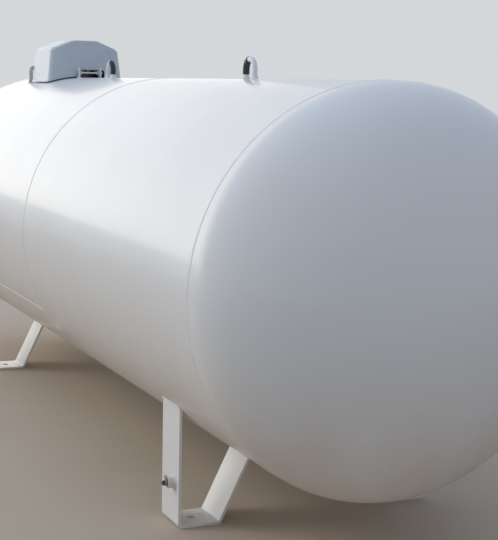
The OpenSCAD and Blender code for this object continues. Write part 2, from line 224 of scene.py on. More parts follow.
# %% Copies, cuts and joins
def copy_piece(piece, flip=(1, 1, 1), shift=(0, 0, 0)):
    """A copy with its own mesh, mirrored where flip is -1, and moved by shift."""
    twin = piece.copy()
    twin.data = piece.data.copy()
    bpy.context.scene.collection.objects.link(twin)
    twin.scale = flip
    twin.location = shift
    place_in_mesh(twin)
    if flip[0] * flip[1] * flip[2] < 0:
        bpy.ops.object.mode_set(mode="EDIT")
        bpy.ops.mesh.select_all(action="SELECT")
        bpy.ops.mesh.flip_normals()
        bpy.ops.object.mode_set(mode="OBJECT")
    return twin


def join(*pieces):
    use(*pieces)
    bpy.ops.object.join()
    return pieces[0]


def ring_of(piece, count, centre):
    """Joins copies of a piece, turned round an upright line through centre."""
    copies = []
    for index in range(count):
        twin = copy_piece(piece)
        spot = Matrix.Rotation(2 * math.pi * index / count, 4, "Z")
        twin.matrix_world = Matrix.Translation(centre) @ spot @ Matrix.Translation(-centre)
        place_in_mesh(twin)
        copies.append(twin)
    bpy.data.objects.remove(piece)
    return join(*copies)


def cut(piece, *tools, operation="DIFFERENCE"):
    """Cuts, joins or keeps what is common with each tool, and then removes the tools."""
    for tool in tools:
        add_modifier(piece, "BOOLEAN", operation=operation, object=tool, solver="EXACT")
    apply_modifiers(piece)
    for tool in tools:
        bpy.data.objects.remove(tool)


def round_edges(piece, width, segments=3, angle=30):
    """Rounds the edges that turn by more than angle."""
    add_modifier(piece, "BEVEL", width=width, segments=segments, limit_method="ANGLE",
                 angle_limit=math.radians(angle))
    apply_modifiers(piece)
    return piece


# %% Finishing a piece
def finish_piece(piece, name, slot, *stands_for, body="tank", smooth=35, paint=None):
    """Paints a piece and hands it over. stands_for names the frame's nodes that it replaces."""
    place_in_mesh(piece)
    bpy.ops.object.shade_smooth_by_angle(angle=math.radians(smooth))
    add_modifier(piece, "WEIGHTED_NORMAL", keep_sharp=True)
    apply_modifiers(piece)
    piece.name = name
    piece.data.name = name
    piece.data.materials.clear()
    piece.data.materials.append(paint or finish_of_slot[slot])
    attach(piece, body)
    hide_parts(*stands_for)
    print(name, len(piece.data.polygons), "faces")


# %% [markdown]
# ## Helpers for finishes
# A finish is a node tree that reads the piece's own Object coordinates, so it stays on the piece
# when the piece moves. Small helpers keep the trees short: one starts a material, one adds a node
# and joins its inputs, and others make a noise, fade it between two values and mix colours by it.
# A noise's scale is how many of its blots lie in a metre, and most of it lies from 0.3 to 0.7.

# %% Finish helpers
def start_finish(name, metallic=0.0, coat=0.0, coat_roughness=0.03):
    material = bpy.data.materials.new(name)
    material.use_nodes = True
    shader = material.node_tree.nodes["Principled BSDF"]
    values = {"Metallic": metallic, "IOR": 1.5, "Coat Weight": coat, "Coat Roughness": coat_roughness}
    for socket, value in values.items():
        shader.inputs[socket].default_value = value
    return material, shader


def node(material, kind, settings=None, **inputs):
    """Adds a node. An input is a plain value, or another node's output; i0 is the first input."""
    made = material.node_tree.nodes.new(kind)
    for key, value in (settings or {}).items():
        setattr(made, key, value)
    for key, value in inputs.items():
        socket = made.inputs[int(key[1:])] if key[0] == "i" and key[1:].isdigit() else made.inputs[key]
        if isinstance(value, bpy.types.NodeSocket):
            material.node_tree.links.new(value, socket)
        else:
            socket.default_value = value
    return made


def link(material, source, target):
    material.node_tree.links.new(source, target)


def dress(material, shader, colour, roughness, normal):
    """Joins a finish's colour, roughness and surface to its shader."""
    for source, socket in ((colour, "Base Color"), (roughness, "Roughness"), (normal, "Normal")):
        link(material, source, shader.inputs[socket])
    return material


def place_of(material):
    return node(material, "ShaderNodeTexCoord").outputs["Object"]


def parts_of_place(material):
    return node(material, "ShaderNodeSeparateXYZ", Vector=place_of(material)).outputs


def stretched(material, scale):
    """The piece's own coordinates, drawn out or pressed together along each axis."""
    return node(material, "ShaderNodeMapping", Vector=place_of(material), Scale=scale).outputs["Vector"]


def noise(material, scale, detail=3.0, roughness=0.5, vector=None):
    return node(material, "ShaderNodeTexNoise", Vector=vector or place_of(material), Scale=scale,
                Detail=detail, Roughness=roughness).outputs["Fac"]


def fade(material, value, low=0.3, high=0.7, out_low=0.0, out_high=1.0):
    """Maps a value so that low gives out_low and high gives out_high, with soft ends."""
    return node(material, "ShaderNodeMapRange", {"interpolation_type": "SMOOTHSTEP"}, i0=value,
                i1=low, i2=high, i3=out_low, i4=out_high).outputs["Result"]


def reckon(material, operation, first, second):
    return node(material, "ShaderNodeMath", {"operation": operation}, i0=first, i1=second).outputs["Value"]


def tint(material, amount, below, above):
    """Mixes two colours, or a colour and an earlier mix, by an amount."""
    return node(material, "ShaderNodeMix", {"data_type": "RGBA"}, i0=amount, i6=below, i7=above).outputs[2]


def bump(material, height, strength, distance, under=None):
    made = node(material, "ShaderNodeBump", Strength=strength, Distance=distance, Height=height)
    if under is not None:
        link(material, under, made.inputs["Normal"])
    return made.outputs["Normal"]


# %% [markdown]
# ## White tank paint
# The tank is sprayed with a glossy white paint. Up close it has the fine orange-peel skin that
# sprayed paint always has, and the rolled plate under it is never quite true, so reflections
# swim a little. Low down it carries a faint warm film of dust. All of this is noise at
# different scales: fine for the skin, wide for the plate, and drawn out for the film. The feet
# wear the same paint, cleaner and truer, and their white is painted lighter as painted light, so one function
# makes both.

# %% White tank paint
rolled_white = (0.83, 0.835, 0.82, 1)
chalky_white = (0.81, 0.81, 0.795, 1)
# A lighter white, mixed in as painted light where the white is lifted.
painted_light_white = (0.93, 0.93, 0.905, 1)
dust_brown = (0.63, 0.48, 0.34, 1)
speck_grey = (0.52, 0.5, 0.46, 1)
clean_above_z, dusty_below_z = 0.85, 0.1
least_drift = 0.45
drift_scale = (5, 5, 2.2)
speck_strength = 0.45
sheen_low, sheen_high = 0.285, 0.315
dust_dulls = 0.9


def white_paint(name, plate_wave=1.0, dust=0.6, painted_light=0.0):
    """The wave is the plate's, dust is the film's strength, and the last lifts the white as painted light."""
    material, shader = start_finish(name, coat=0.35, coat_roughness=0.1)
    patches = fade(material, noise(material, scale=1.3, detail=4.0, roughness=0.55), high=0.75)
    # Painted light: the white is lifted towards a lighter white, standing in for light falling on it.
    clean = tint(material, painted_light, tint(material, patches, rolled_white, chalky_white), painted_light_white)
    low_down = fade(material, parts_of_place(material)["Z"], clean_above_z, dusty_below_z)
    drifts = noise(material, scale=1.0, detail=4.0, vector=stretched(material, drift_scale))
    drifts = fade(material, drifts, high=0.75, out_low=least_drift)
    film = reckon(material, "MULTIPLY", reckon(material, "MULTIPLY", low_down, drifts), dust)
    specks = noise(material, scale=85.0, detail=2.0, roughness=0.4)
    specks = fade(material, specks, low=0.775, high=0.83, out_high=speck_strength)
    spotted = tint(material, specks, tint(material, film, clean, dust_brown), speck_grey)
    sheen = noise(material, scale=7.0, detail=4.0)
    sheen = fade(material, sheen, high=0.8, out_low=sheen_low, out_high=sheen_high)
    dulled = reckon(material, "ADD", sheen, reckon(material, "MULTIPLY", film, dust_dulls))
    wave = noise(material, scale=2.6, detail=1.0)
    wave = bump(material, wave, strength=0.35 * plate_wave, distance=20 * MM)
    peel = noise(material, scale=420.0, detail=1.0)
    peel = bump(material, peel, strength=0.03, distance=0.5 * MM, under=wave)
    return dress(material, shader, spotted, dulled, peel)


paint_shell = white_paint("white tank paint")
# The feet's white is painted lighter, as painted light for the light they catch; their slight dust is real.
paint_feet = white_paint("white paint of the feet with painted light", plate_wave=0.3, dust=0.06, painted_light=0.8)
print("finishes:", paint_shell.name, "and", paint_feet.name)

# %% [markdown]
# ## Painted weld and hood
# The beads of weld are under the same white paint, but their ripples catch dirt. The hood is
# moulded with a satin blue-grey skin, which rain has marked with faint upright streaks.

# %% Painted weld and hood
weld_white = (0.82, 0.815, 0.8, 1)
weld_dirt = (0.74, 0.725, 0.7, 1)
hood_grey = (0.545, 0.605, 0.65, 1)
hood_pale = (0.585, 0.64, 0.68, 1)
streak_grey = (0.44, 0.47, 0.49, 1)
streak_scale = (60, 60, 6)
streak_strength = 0.35


def weld_finish():
    material, shader = start_finish("painted weld")
    ripple = noise(material, scale=260.0, roughness=0.6)
    dirt = fade(material, noise(material, scale=24.0, detail=4.0), low=0.35)
    return dress(material, shader, tint(material, dirt, weld_white, weld_dirt),
                 fade(material, ripple, out_low=0.3, out_high=0.48),
                 bump(material, ripple, strength=0.22, distance=0.8 * MM))


def hood_finish():
    material, shader = start_finish("blue-grey hood paint", coat=0.5, coat_roughness=0.3)
    patches = fade(material, noise(material, scale=9.0, detail=5.0, roughness=0.6))
    streaks = noise(material, scale=1.0, detail=5.0, roughness=0.6, vector=stretched(material, streak_scale))
    streaks = fade(material, streaks, low=0.52, high=0.78, out_high=streak_strength)
    colour = tint(material, streaks, tint(material, patches, hood_grey, hood_pale), streak_grey)
    sheen = fade(material, noise(material, scale=40.0, detail=4.0), out_low=0.36, out_high=0.5)
    grain = bump(material, noise(material, scale=900.0, detail=2.0), strength=0.16, distance=0.5 * MM)
    return dress(material, shader, colour, sheen, grain)


# %% [markdown]
# ## Metals, rubber and plastic
# The small parts are zinc-plated or blackened steel, brass, black rubber and coloured plastic.
# Two functions are enough: each mixes a fresh and a worn colour in patches, lets the same
# patches dull the surface, and adds the fine grain of its own stuff.

# %% Metals, rubber and plastic
def metal_finish(name, bright, dull, sheen, patch_scale, grain_finer=9):
    material, shader = start_finish(name, metallic=1.0)
    patches = fade(material, noise(material, patch_scale, detail=5.0, roughness=0.6))
    grain = bump(material, noise(material, patch_scale * grain_finer), strength=0.12, distance=0.4 * MM)
    colour = tint(material, patches, bright, dull)
    return dress(material, shader, colour, fade(material, patches, 0.0, 1.0, *sheen), grain)


def plastic_finish(name, fresh, faded, sheen):
    material, shader = start_finish(name)
    patches = fade(material, noise(material, scale=30.0, detail=4.0))
    grain = bump(material, noise(material, scale=700.0), strength=0.2, distance=0.6 * MM)
    colour = tint(material, patches, fresh, faded)
    return dress(material, shader, colour, fade(material, patches, 0.0, 1.0, *sheen), grain)


# The hood's hollow gets a near-black finish as painted shade, standing in for the shade inside the hood.
painted_shade_inside = plastic_finish(
    "painted shade inside the hood", (0.05, 0.055, 0.065, 1), (0.08, 0.085, 0.095, 1), sheen=(0.6, 0.75))
paint_dial = plastic_finish("white dial", (0.8, 0.8, 0.78, 1), (0.74, 0.74, 0.71, 1), sheen=(0.3, 0.4))
finish_of_slot = {
    "white_paint": paint_shell,
    "weld_paint": weld_finish(),
    "hood_paint": hood_finish(),
    "zinc_steel": metal_finish(
        "zinc-plated steel", (0.66, 0.67, 0.68, 1), (0.5, 0.51, 0.53, 1), sheen=(0.3, 0.5), patch_scale=60.0),
    "dark_steel": metal_finish(
        "blackened steel", (0.12, 0.118, 0.115, 1), (0.2, 0.185, 0.17, 1), sheen=(0.42, 0.62),
        patch_scale=120.0),
    "brass": metal_finish(
        "brass", (0.78, 0.57, 0.27, 1), (0.58, 0.42, 0.2, 1), sheen=(0.285, 0.42), patch_scale=70.0),
    "black_rubber": plastic_finish(
        "black rubber", (0.016, 0.018, 0.026, 1), (0.04, 0.043, 0.055, 1), sheen=(0.48, 0.66)),
    "black_plastic": plastic_finish(
        "black plastic", (0.02, 0.02, 0.022, 1), (0.035, 0.035, 0.038, 1), sheen=(0.34, 0.5)),
    "red_plastic": plastic_finish(
        "red plastic", (0.5, 0.035, 0.025, 1), (0.42, 0.05, 0.035, 1), sheen=(0.3, 0.46)),
}
for subpart in frame["record"]["subparts"]:
    kept = frame["nodes"][subpart["node"]]
    kept.data.materials.clear()
    kept.data.materials.append(finish_of_slot[subpart["material_slot"]])
print(len(finish_of_slot), "finishes on", len(frame["nodes"]), "frame nodes")

# %% [markdown]
# ## Shell courses
# The round body is two plates rolled into open cylinders and welded end to end. A cylinder with
# many sides could be lathed from a profile too, but an open cylinder primitive is the rolled
# plate itself: it only needs rings along its length and the plate's thickness turned inwards.

# %% Shell courses
along_x = (0, math.pi / 2, 0)
round_sides = 192
course_cuts = 11
shell_t = 6.3 * MM


def shell_course(name, middle_x, stands_for):
    deselect_all()
    bpy.ops.mesh.primitive_cylinder_add(
        vertices=round_sides, radius=shell_r, depth=course_len, end_fill_type="NOTHING",
        location=(middle_x, 0, axis_z), rotation=along_x)
    course = bpy.context.object
    place_in_mesh(course)
    pick(course, "EDGE", lambda a, b: abs(a.x - b.x) > course_len / 2)
    bpy.ops.mesh.subdivide(number_cuts=course_cuts)
    deselect_all()
    add_modifier(course, "SOLIDIFY", thickness=shell_t, offset=-1)
    apply_modifiers(course)
    finish_piece(course, name, "white_paint", stands_for)


shell_course("course_near_plate", course_len / 2, "shell_course_near")
shell_course("course_far_plate", -course_len / 2, "shell_course_far")

# %% [markdown]
# ## Pressed ends
# Each end is pressed from one plate to half an ellipsoid, half as deep as its radius, with a
# short straight skirt where it meets the body. Half a sphere is squashed along X, and its open
# rim is drawn out into the skirt, so the curve runs into the straight part without a crease.

# %% Pressed ends
head_t = 6.5 * MM
head_skirt = 40 * MM
head_rings = 72
tip_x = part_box("head_near")[1].x
head_depth = tip_x - course_len - head_skirt

deselect_all()
bpy.ops.mesh.primitive_uv_sphere_add(
    segments=round_sides, ring_count=head_rings, radius=shell_r, location=(0, 0, 0), rotation=along_x)
head = bpy.context.object
place_in_mesh(head)
pick(head, "VERT", lambda v: v.x < -MM)
bpy.ops.mesh.delete(type="VERT")
bpy.ops.mesh.select_all(action="SELECT")
bpy.ops.transform.resize(value=(head_depth / shell_r, 1, 1), center_override=(0, 0, 0))
pick(head, "EDGE", lambda a, b: abs(a.x) < MM and abs(b.x) < MM)
extrude((-head_skirt, 0, 0))
deselect_all()
head.location = (course_len + head_skirt, 0, axis_z)
place_in_mesh(head)
add_modifier(head, "SOLIDIFY", thickness=head_t, offset=-1)
apply_modifiers(head)
far_head = copy_piece(head, flip=(-1, 1, 1))
finish_piece(head, "end_near_plate", "white_paint", "head_near")
finish_piece(far_head, "end_far_plate", "white_paint", "head_far")

# %% [markdown]
# ## Weld beads round and along the body
# A bead is a low, wide rib of weld. Round the body it is a thin ring stretched along X to its
# width, and sunk a little into the plates, so that only its crown shows. Along a course it is a
# thin rod flattened the same way. Both follow the frame's beads.

# %% Weld beads
bead_low, bead_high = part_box("girth_weld_middle")
bead_w = bead_high.x - bead_low.x
bead_h = 1.8 * MM
bead_sunk = 0.8 * MM
bead_path_r = (bead_high.z - bead_low.z) / 2 - bead_h
bead_flat = bead_w / 2 / bead_h
bead_end_round = 0.8 * bead_h
long_bead_turn = math.radians(31)


def girth_bead(name, x, stands_for):
    deselect_all()
    bpy.ops.mesh.primitive_torus_add(
        major_segments=256, minor_segments=12, major_radius=bead_path_r - bead_sunk, minor_radius=bead_h,
        location=(0, 0, 0), rotation=along_x)
    bead = bpy.context.object
    place_in_mesh(bead)
    bead.scale.x = bead_flat
    bead.location = (x, 0, axis_z)
    finish_piece(bead, name, "weld_paint", stands_for, smooth=80)


def long_bead(name, middle_x, stands_for):
    low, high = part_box(stands_for)
    side = 1 if high.y > 0 else -1
    deselect_all()
    bpy.ops.mesh.primitive_cylinder_add(
        vertices=16, radius=bead_h, depth=high.x - low.x, location=(0, 0, 0), rotation=along_x)
    bead = bpy.context.object
    place_in_mesh(bead)
    round_edges(bead, bead_end_round)
    bead.scale.y = bead_flat
    place_in_mesh(bead)
    bead.rotation_euler.x = -side * (math.pi / 2 + long_bead_turn)
    bead.location = (middle_x, side * bead_path_r * math.cos(long_bead_turn),
                     axis_z - bead_path_r * math.sin(long_bead_turn))
    finish_piece(bead, name, "weld_paint", stands_for, smooth=80)


girth_bead("bead_near_end", course_len, "girth_weld_near")
girth_bead("bead_middle", 0, "girth_weld_middle")
girth_bead("bead_far_end", -course_len, "girth_weld_far")
long_bead("bead_near_course", course_len / 2, "long_weld_near")
long_bead("bead_far_course", -course_len / 2, "long_weld_far")

# %% [markdown]
# ## Feet
# Each foot is one flat bar bent twice on a press: an upright outer arm, a flat base on the
# ground, and an arm that leans in under the belly. So it is modelled in the same way. The
# bar's end face is drawn down, spun round the first bend, drawn along the base, spun round the
# second bend and drawn up. Both arms are then cut on the plane that touches the shell there.

# %% Sizes of a foot
foot_low, foot_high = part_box("foot_near_right")
foot_x = (foot_low.x + foot_high.x) / 2
foot_w = foot_high.x - foot_low.x
foot_t = 10 * MM
foot_out = foot_high.y
foot_base = 149 * MM
foot_bend = 18 * MM
foot_lean = math.radians(26)
foot_turn = math.pi / 2 - foot_lean
foot_edge = 1.2 * MM
bend_steps = 8
anchor_d = 26 * MM
anchor_y = foot_out - foot_base / 2
heel_y = foot_out - foot_bend
toe_y = foot_out - foot_base + foot_bend * math.tan(foot_turn / 2)
weld_in = 1.5 * MM
along_lean = Vector((0, -math.sin(foot_lean), math.cos(foot_lean)))
out_of_lean = Vector((0, -math.cos(foot_lean), -math.sin(foot_lean)))


# %% Foot
def meets_shell(start, direction):
    """Where a straight arm from start first meets the round shell, and the way out of it there."""
    from_axis = start - Vector((0, 0, axis_z))
    half = from_axis.dot(direction)
    far = half * half - from_axis.length_squared + (shell_r - weld_in) ** 2
    hit = start + direction * (-half - math.sqrt(far))
    return hit, (hit - Vector((0, 0, axis_z))).normalized()


def bend_on(centre, angle):
    """Carries the selected end face round a bend whose axis runs along X."""
    bpy.ops.mesh.spin(steps=bend_steps, angle=angle, center=centre, axis=(1, 0, 0))


def model_foot():
    """The foot, and for each arm where it meets the shell, the way out there and its own way."""
    bar_middle = foot_out - foot_t / 2
    outer_hit, outer_way = meets_shell(Vector((0, bar_middle, foot_bend)), Vector((0, 0, 1)))
    top_z = outer_hit.z + 2 * foot_t
    deselect_all()
    bpy.ops.mesh.primitive_plane_add(size=1, location=(0, bar_middle, top_z))
    foot = bpy.context.object
    foot.scale = (foot_w, foot_t, 1)
    place_in_mesh(foot)
    pick_all_faces(foot)
    extrude((0, 0, foot_bend - top_z))
    bend_on((0, heel_y, foot_bend), math.pi / 2)
    extrude((0, toe_y - heel_y, 0))
    bend_on((0, toe_y, foot_bend), foot_turn)
    lean_start = Vector((0, toe_y, foot_bend)) + out_of_lean * (foot_bend - foot_t / 2)
    lean_hit, lean_way = meets_shell(lean_start, along_lean)
    extrude(along_lean * ((lean_hit - lean_start).length + 3 * foot_t))
    for hit, way, outer in ((outer_hit, outer_way, True), (lean_hit, lean_way, False)):
        pick(foot, "FACE", lambda centre, normal: centre.z > foot_bend and (centre.y > anchor_y) == outer)
        bpy.ops.mesh.bisect(plane_co=hit, plane_no=way, use_fill=True, clear_inner=True)
    merge_and_face_out()
    cut(foot, turned([(-foot_t, anchor_d / 2), (2 * foot_t, anchor_d / 2)], (0, anchor_y, 0)))
    round_edges(foot, foot_edge, segments=2)
    return foot, (outer_hit, outer_way, Vector((0, 0, 1))), (lean_hit, lean_way, along_lean)


foot, outer_joint, lean_joint = model_foot()
print("foot meets the shell at", [round(v, 4) for v in outer_joint[0]], [round(v, 4) for v in lean_joint[0]])

# %% [markdown]
# ## Fillet welds where the arms meet the shell
# A welder runs one bead all round the end of each arm. Its path is the arm's own outline on the
# shell, so a flat plate of that size gives the path: its corners are rounded, its face is
# taken away, and the loop that is left is swept with a small round section.

# %% Fillet welds
arm_weld_r = 3.2 * MM
arm_weld_wider = 2 * MM


def fillet_loop(middle, way_out, along, across, thick):
    """A closed bead of weld round a flat bar's end, lying on the plane that touches the shell."""
    deselect_all()
    bpy.ops.mesh.primitive_plane_add(size=1, location=(0, 0, 0))
    loop = bpy.context.object
    loop.scale = (along, across, 1)
    place_in_mesh(loop)
    pick(loop, "VERT", lambda v: True)
    bpy.ops.mesh.bevel(offset=thick, affect="VERTICES", segments=4)
    bpy.ops.mesh.delete(type="ONLY_FACE")
    use(loop)
    bpy.ops.object.convert(target="CURVE")
    loop = bpy.context.object
    loop.data.bevel_depth = thick
    loop.data.bevel_resolution = 3
    use(loop)
    bpy.ops.object.convert(target="MESH")
    loop = bpy.context.object
    x_axis = Vector((1, 0, 0))
    loop.rotation_euler = Matrix((x_axis, way_out.cross(x_axis), way_out)).transposed().to_euler()
    loop.location = middle
    place_in_mesh(loop)
    return loop


def arm_weld(joint):
    hit, way, along = joint
    footprint = foot_t / abs(way.dot(along))
    return fillet_loop(
        hit + way * weld_in, way, foot_w + arm_weld_wider, footprint + arm_weld_wider, arm_weld_r)


foot_weld = join(arm_weld(outer_joint), arm_weld(lean_joint))
for end, end_x in (("near", foot_x), ("far", -foot_x)):
    for side, flip in (("left", -1), ("right", 1)):
        bar = copy_piece(foot, flip=(1, flip, 1), shift=(end_x, 0, 0))
        finish_piece(bar, f"foot_{end}_{side}_bar", "white_paint", f"foot_{end}_{side}", paint=paint_feet)
        weld = copy_piece(foot_weld, flip=(1, flip, 1), shift=(end_x, 0, 0))
        finish_piece(weld, f"foot_{end}_{side}_welds", "weld_paint", smooth=80)
bpy.data.objects.remove(foot)
bpy.data.objects.remove(foot_weld)

# %% [markdown]
# ## Lifting lugs
# A lug is a round bar bent to an arch and welded to the crest. One disc, the bar's section, is
# drawn up a leg, spun half way round the arch, and drawn down the other leg. Each leg stands in
# a mound of weld with hollow sides, which is turned like a piece on a lathe.

# %% Lifting lugs
lug_high_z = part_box("lifting_lug_near")[1].z
lug_x = middle_of("lifting_lug_near").x
lug_bar = 20 * MM
lug_legs = 74 * MM
lug_sunk = 3 * MM
lug_sides = 32
arch_r = lug_legs / 2
arch_z = lug_high_z - lug_bar / 2 - arch_r
arch_step = math.radians(7.5)
mound_r = 20 * MM
mound_h = 16 * MM
mound_steps = 6


def model_bar(radius, sides, low_z, swing, leg_down):
    """A round bar up one leg and round the arch, and down the other leg if leg_down is set."""
    deselect_all()
    bpy.ops.mesh.primitive_circle_add(
        vertices=sides, radius=radius, fill_type="NGON", location=(arch_r, 0, low_z))
    bar = bpy.context.object
    place_in_mesh(bar)
    pick_all_faces(bar)
    extrude((0, 0, arch_z - low_z))
    bpy.ops.mesh.spin(steps=round(swing / arch_step), angle=swing, center=(0, 0, arch_z), axis=(0, 1, 0))
    if leg_down:
        extrude((0, 0, low_z - arch_z))
    merge_and_face_out()
    return bar


def weld_mound(x):
    """A mound of weld round a leg, hollowed like a fillet on its way up to the bar."""
    narrows = mound_r - lug_bar / 2 - MM
    rings = [(-lug_sunk, mound_r), (0, mound_r)]
    for index in range(1, mound_steps + 1):
        turn = math.pi / 2 * index / mound_steps
        rings.append((mound_h * (1 - math.cos(turn)), mound_r - narrows * math.sin(turn)))
    return turned(rings, (x, 0, crest_z), sides=40)


lug = model_bar(lug_bar / 2, lug_sides, crest_z - lug_sunk, math.pi, True)
lug = join(lug, weld_mound(arch_r), weld_mound(-arch_r))
for end, lug_at in (("near", lug_x), ("far", -lug_x)):
    arch = copy_piece(lug, shift=(lug_at, 0, 0))
    finish_piece(arch, f"lug_{end}_arch", "white_paint", f"lifting_lug_{end}")
bpy.data.objects.remove(lug)

# %% [markdown]
# ## Lug sleeves
# The leg that faces the middle of the tank wears a dark rubber sleeve, so that slings do not chafe
# the paint. It is the same bend as the bar, a little fatter, hollowed and pierced once.

# %% Lug sleeves
sleeve_t = 2.2 * MM
sleeve_play = 0.1 * MM
sleeve_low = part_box("lug_sleeve_near")[0].z
sleeve_swing = math.radians(75)
core_swing = 1.05 * sleeve_swing
sleeve_sides = 40
hole_r = 4.5 * MM
hole_turn = math.radians(48)

sleeve = model_bar(lug_bar / 2 + sleeve_t, sleeve_sides, sleeve_low, sleeve_swing, False)
core = model_bar(lug_bar / 2 + sleeve_play, sleeve_sides, sleeve_low - MM, core_swing, False)
cut(sleeve, core)
deselect_all()
bpy.ops.mesh.primitive_cylinder_add(
    vertices=24, radius=hole_r, depth=4 * lug_bar, rotation=(math.pi / 2, 0, 0),
    location=(arch_r * math.cos(hole_turn), 0, arch_z + arch_r * math.sin(hole_turn)))
cut(sleeve, bpy.context.object)
round_edges(sleeve, 0.5 * MM, segments=2)
far_sleeve = copy_piece(sleeve, shift=(-lug_x, 0, 0))
near_sleeve = copy_piece(sleeve, flip=(-1, 1, 1), shift=(lug_x, 0, 0))
bpy.data.objects.remove(sleeve)
finish_piece(far_sleeve, "lug_far_sleeve", "black_rubber", "lug_sleeve_far")
finish_piece(near_sleeve, "lug_near_sleeve", "black_rubber", "lug_sleeve_near")

# %% [markdown]
# ## Valve hood
# The hood is a thin moulded cover: straight ends, sides that lean in a little, a sharp shoulder,
# a sloping roof and a flat top. One block is shaped by drawing its top face up three times and
# narrowing it each time, and the loops of edges at the shoulder and the roof are bevelled, the
# lower ones less, because they lie close together. The same block, a little smaller, hollows it,
# and a little larger it gives the rim. The shell's own circle then trims the lower edge.

# %% Sizes of the hood
hood_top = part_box("valve_hood")[1].z
hood_x = middle_of("valve_hood").x
hood_len = 304 * MM
hood_w = 388 * MM
hood_corner = 28 * MM
hood_t = 4 * MM
hood_gap = 6 * MM
hood_rim = 3 * MM
hood_rim_h = 7 * MM
hood_end_flare = 16 * MM
hood_flare = 22 * MM
hood_base_z = crest_z - hood_w / 6
shoulder_z = hood_top - 50 * MM
eave_z = hood_top - 37 * MM
# Each level, and how far the walls are drawn in on the way up to it, at the ends and at the sides
hood_levels = (
    (shoulder_z, hood_end_flare, hood_flare), (eave_z, 2 * MM, 13 * MM), (hood_top, 4 * MM, 91 * MM))
level_play = 0.05 * MM
roof_softness = 8 * MM
shoulder_softness = 0.6 * roof_softness
soft_loops = ((shoulder_z, eave_z, shoulder_softness), (hood_top, hood_top, roof_softness))
print("hood from", round(hood_base_z, 3), "to", round(hood_top, 4), "shoulder", round(shoulder_z, 4))


# %% Hood block
def hood_block(inset, soft=False):
    """The hood's solid form, drawn in by inset on every side. Its level edges are rounded if soft."""
    level = hood_base_z - inset
    deselect_all()
    bpy.ops.mesh.primitive_plane_add(size=1, location=(hood_x, 0, level))
    form = bpy.context.object
    form.scale = (hood_len + 2 * (hood_end_flare - inset), hood_w - 2 * inset, 1)
    place_in_mesh(form)
    pick(form, "VERT", lambda v: True)
    bpy.ops.mesh.bevel(offset=hood_corner - inset, affect="VERTICES", segments=10)
    pick_all_faces(form)
    for height, in_ends, in_sides in hood_levels:
        next_level = height - inset
        extrude((0, 0, next_level - level))
        below_top = next_level - MM
        for way_x, way_y in ((-1, -1), (-1, 1), (1, -1), (1, 1)):
            pick(form, "VERT", lambda v: v.z > below_top and (v.x - hood_x) * way_x > 0 and v.y * way_y > 0)
            bpy.ops.transform.translate(value=(-way_x * in_ends, -way_y * in_sides, 0))
        pick(form, "FACE", lambda centre, normal: centre.z > below_top)
        level = next_level
    for low, high, width in soft_loops if soft else ():
        low, high = low - level_play, high + level_play
        pick(form, "EDGE", lambda a, b: abs(a.z - b.z) < level_play and low < a.z < high)
        bpy.ops.mesh.bevel(offset=width, segments=4, affect="EDGES", clamp_overlap=False)
    set_normals_out(form)
    return form


def shell_cutter(extra, middle_x):
    """A short round body, larger than the shell by extra, for cutting what stands on the shell."""
    deselect_all()
    bpy.ops.mesh.primitive_cylinder_add(
        vertices=256, radius=shell_r + extra, depth=1, location=(middle_x, 0, axis_z), rotation=along_x)
    return bpy.context.object


# %% Hood
notch_w = 140 * MM
notch_y = 24 * MM
notch_z = crest_z + 38 * MM
notch_corner = 12 * MM
notch_reach = 60 * MM

hood = hood_block(0, soft=True)
rim = hood_block(-hood_rim)
cut(rim, shell_cutter(hood_gap + hood_rim_h, hood_x), operation="INTERSECT")
cut(hood, rim, operation="UNION")
cut(hood, hood_block(hood_t), shell_cutter(hood_gap, hood_x))
hood_front = hood_x + hood_len / 2
notch = block((hood_front - notch_reach, notch_y - notch_w / 2, 0),
              (hood_front + notch_reach, notch_y + notch_w / 2, notch_z))
pick(notch, "EDGE", lambda a, b: a.z > notch_z / 2 and b.z > notch_z / 2 and abs(a.y - b.y) < MM)
bpy.ops.mesh.bevel(offset=notch_corner, segments=6, affect="EDGES")
deselect_all()
cut(hood, notch)
round_edges(hood, 0.8 * MM, segments=2, angle=40)
finish_piece(hood, "hood_cover", "hood_paint", "valve_hood", body="hood", smooth=30)

# %% [markdown]
# ## Painted shade inside the hood
# Only the hood's outer skin is blue-grey. Its hollow lies in shade, and that shade is painted in as a
# near-black second material on the same mesh, given to the faces that look at the hood's own middle or down
# from the roof.

# %% Painted shade inside the hood
inner_z = crest_z + hood_gap + hood_rim_h
faces_down = -0.3
faces_inward = -0.2


def looks_in(centre, normal):
    outward = Vector((centre.x - hood_x, centre.y, 0)).normalized()
    return normal.z < faces_down and centre.z > inner_z or outward.dot(normal) < faces_inward


hood.data.materials.append(painted_shade_inside)
pick(hood, "FACE", looks_in)
hood.active_material_index = 1
bpy.ops.object.material_slot_assign()
deselect_all()
print("inside faces", sum(face.material_index == 1 for face in hood.data.polygons))

# %% [markdown]
# ## Hinge of the hood
# Two upright bars with round tops are welded on the crest, and a rod runs through them. Two arms
# reach from a pad behind the hood's front wall, out through the notch, to the same rod. Bars and
# arms are cut from plate, so they are boxes and discs joined, then pierced for the rod.

# %% Hinge plates
along_y = (0, 1, 0)
hinge_spot = middle_of("hinge_rod")
hinge_x, hinge_y, hinge_z = hinge_spot
rod_low, rod_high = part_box("hinge_rod")
rod_reach = (rod_high.y - rod_low.y) / 2
rod_r = 4 * MM
plate_low, plate_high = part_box("hinge_plate_left")
plate_half = (plate_high.x - plate_low.x) / 2
plate_t = plate_high.y - plate_low.y
plate_weld_r = 4.2 * MM
crest_weld_wider = 4 * MM


def rod_hole(radius):
    start = (hinge_x, hinge_y - 2 * rod_reach, hinge_z)
    return turned([(0, radius), (4 * rod_reach, radius)], start, along_y)


